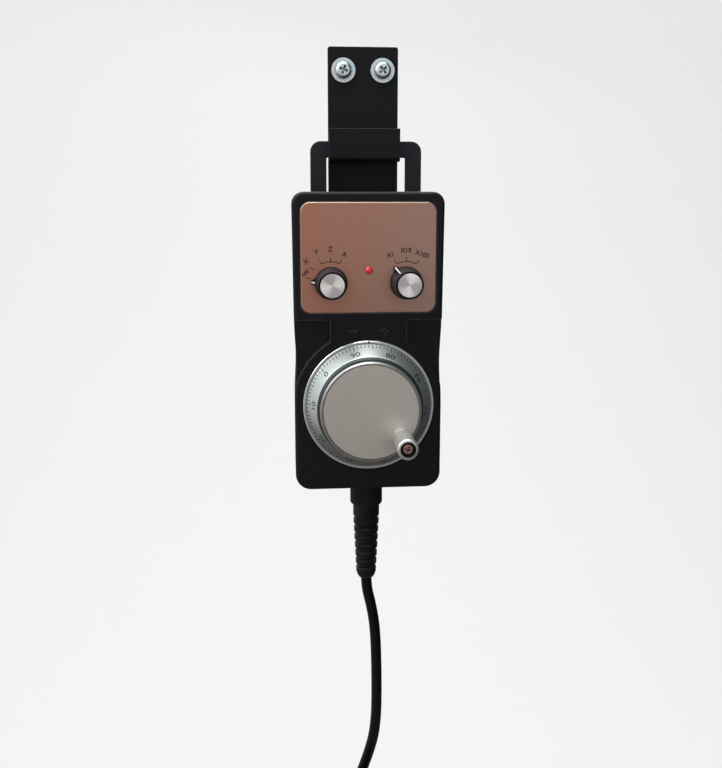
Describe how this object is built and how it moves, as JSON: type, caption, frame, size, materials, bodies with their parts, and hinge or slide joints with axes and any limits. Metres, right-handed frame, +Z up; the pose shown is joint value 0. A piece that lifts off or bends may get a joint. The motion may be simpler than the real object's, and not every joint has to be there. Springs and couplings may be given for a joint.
{
  "type": "hand-held pendant controller",
  "caption": "Hand-held machine control pendant with graduated handwheel, crank grip and two selector knobs, hung by its loop on a screwed wall hook, with ribbed strain relief and corded plug.",
  "frame": {"origin": "on the wall, midway between the two holder screws", "axes": "+X to the viewer's right, +Y into the wall, +Z up along the hanging pendant"},
  "size_m": [0.0914, 0.0988, 0.6393],
  "materials": {
    "holder_paint": "satin black powder coat",
    "zinc": "zinc plated",
    "loop_plastic": "fine textured black",
    "small_steel": "bright",
    "case_plastic": "fine textured black",
    "gasket_rubber": "matte black",
    "face_metal": "brushed, faint warm tint, bright edge",
    "lamp_red": "clear red lens",
    "switch_plastic": "moulded",
    "bezel_metal": "bright turned",
    "encoder_plastic": "satin grey",
    "board_green": "solder mask",
    "terminal_green": "moulded",
    "gland_plastic": "moulded black",
    "boot_rubber": "moulded black",
    "cord_rubber": "smooth black jacket",
    "tie_fabric": "woven hook and loop strap",
    "plug_metal": "nickel plated",
    "plug_ring_metal": "nickel plated, fluted",
    "wheel_metal": "satin turned, printed scale",
    "wheel_face_metal": "satin, slightly warm",
    "set_screw_steel": "black oxide",
    "code_glass": "slotted disc",
    "crank_steel": "bright",
    "grip_metal": "satin",
    "bush_plastic": "black",
    "knob_plastic": "semi-gloss black",
    "cap_metal": "spun"
  },
  "bodies": {
    "pendant": {"holder_plate": "holder_paint", "holder_hook": "holder_paint", "holder_washer_l": "zinc", "holder_washer_r": "zinc", "holder_screw_l": "zinc", "holder_screw_r": "zinc", "hanger_loop": "loop_plastic", "loop_screw_l": "small_steel", "loop_screw_r": "small_steel", "rear_cover": "case_plastic", "case_gasket": "gasket_rubber", "front_case": "case_plastic", "case_screw_tl": "small_steel", "case_screw_tr": "small_steel", "case_screw_bl": "small_steel", "case_screw_br": "small_steel", "face_plate": "face_metal", "status_led": "lamp_red", "axis_switch": "switch_plastic", "axis_nut": "small_steel", "multiplier_switch": "switch_plastic", "multiplier_nut": "small_steel", "index_bezel": "bezel_metal", "encoder_housing": "encoder_plastic", "encoder_bearing": "small_steel", "encoder_screw_1": "small_steel", "encoder_screw_2": "small_steel", "encoder_screw_3": "small_steel", "control_board": "board_green", "terminal_block": "terminal_green", "board_screw_1": "small_steel", "board_screw_2": "small_steel", "board_screw_3": "small_steel", "board_screw_4": "small_steel", "gland_body": "gland_plastic", "gland_nut": "gland_plastic", "strain_relief": "boot_rubber", "cord_core": "cord_rubber", "cord_lead": "cord_rubber", "cord_hank": "cord_rubber", "hank_tie": "tie_fabric", "cord_end": "cord_rubber", "plug_body": "plug_metal", "plug_ring": "plug_ring_metal"},
    "handwheel": {"handwheel": "wheel_metal", "wheel_face": "wheel_face_metal", "wheel_set_screw": "set_screw_steel", "encoder_shaft": "small_steel", "code_disc": "code_glass", "crank_screw": "crank_steel"},
    "crank": {"crank_grip": "grip_metal", "crank_bush": "bush_plastic"},
    "axis_selector": {"axis_knob": "knob_plastic", "axis_cap": "cap_metal", "axis_set_screw": "set_screw_steel", "axis_shaft": "small_steel"},
    "multiplier_selector": {"multiplier_knob": "knob_plastic", "multiplier_cap": "cap_metal", "multiplier_set_screw": "set_screw_steel", "multiplier_shaft": "small_steel"}
  },
  "joints": [
    {"name": "handwheel_spin", "type": "hinge", "parent": "pendant", "child": "handwheel", "pos_m": [0, -0.045, -0.2035], "axis": [0, 1, 0], "continuous": true},
    {"name": "crank_spin", "type": "hinge", "parent": "handwheel", "child": "crank", "pos_m": [0.01887, -0.065, -0.2199], "axis": [0, 1, 0], "continuous": true},
    {"name": "axis_select", "type": "hinge", "parent": "pendant", "child": "axis_selector", "pos_m": [-0.0226, -0.0456, -0.1285], "axis": [0, 1, 0], "range_deg": [0, 100]},
    {"name": "multiplier_select", "type": "hinge", "parent": "pendant", "child": "multiplier_selector", "pos_m": [0.0226, -0.0456, -0.1285], "axis": [0, 1, 0], "range_deg": [0, 60]}
  ]
}
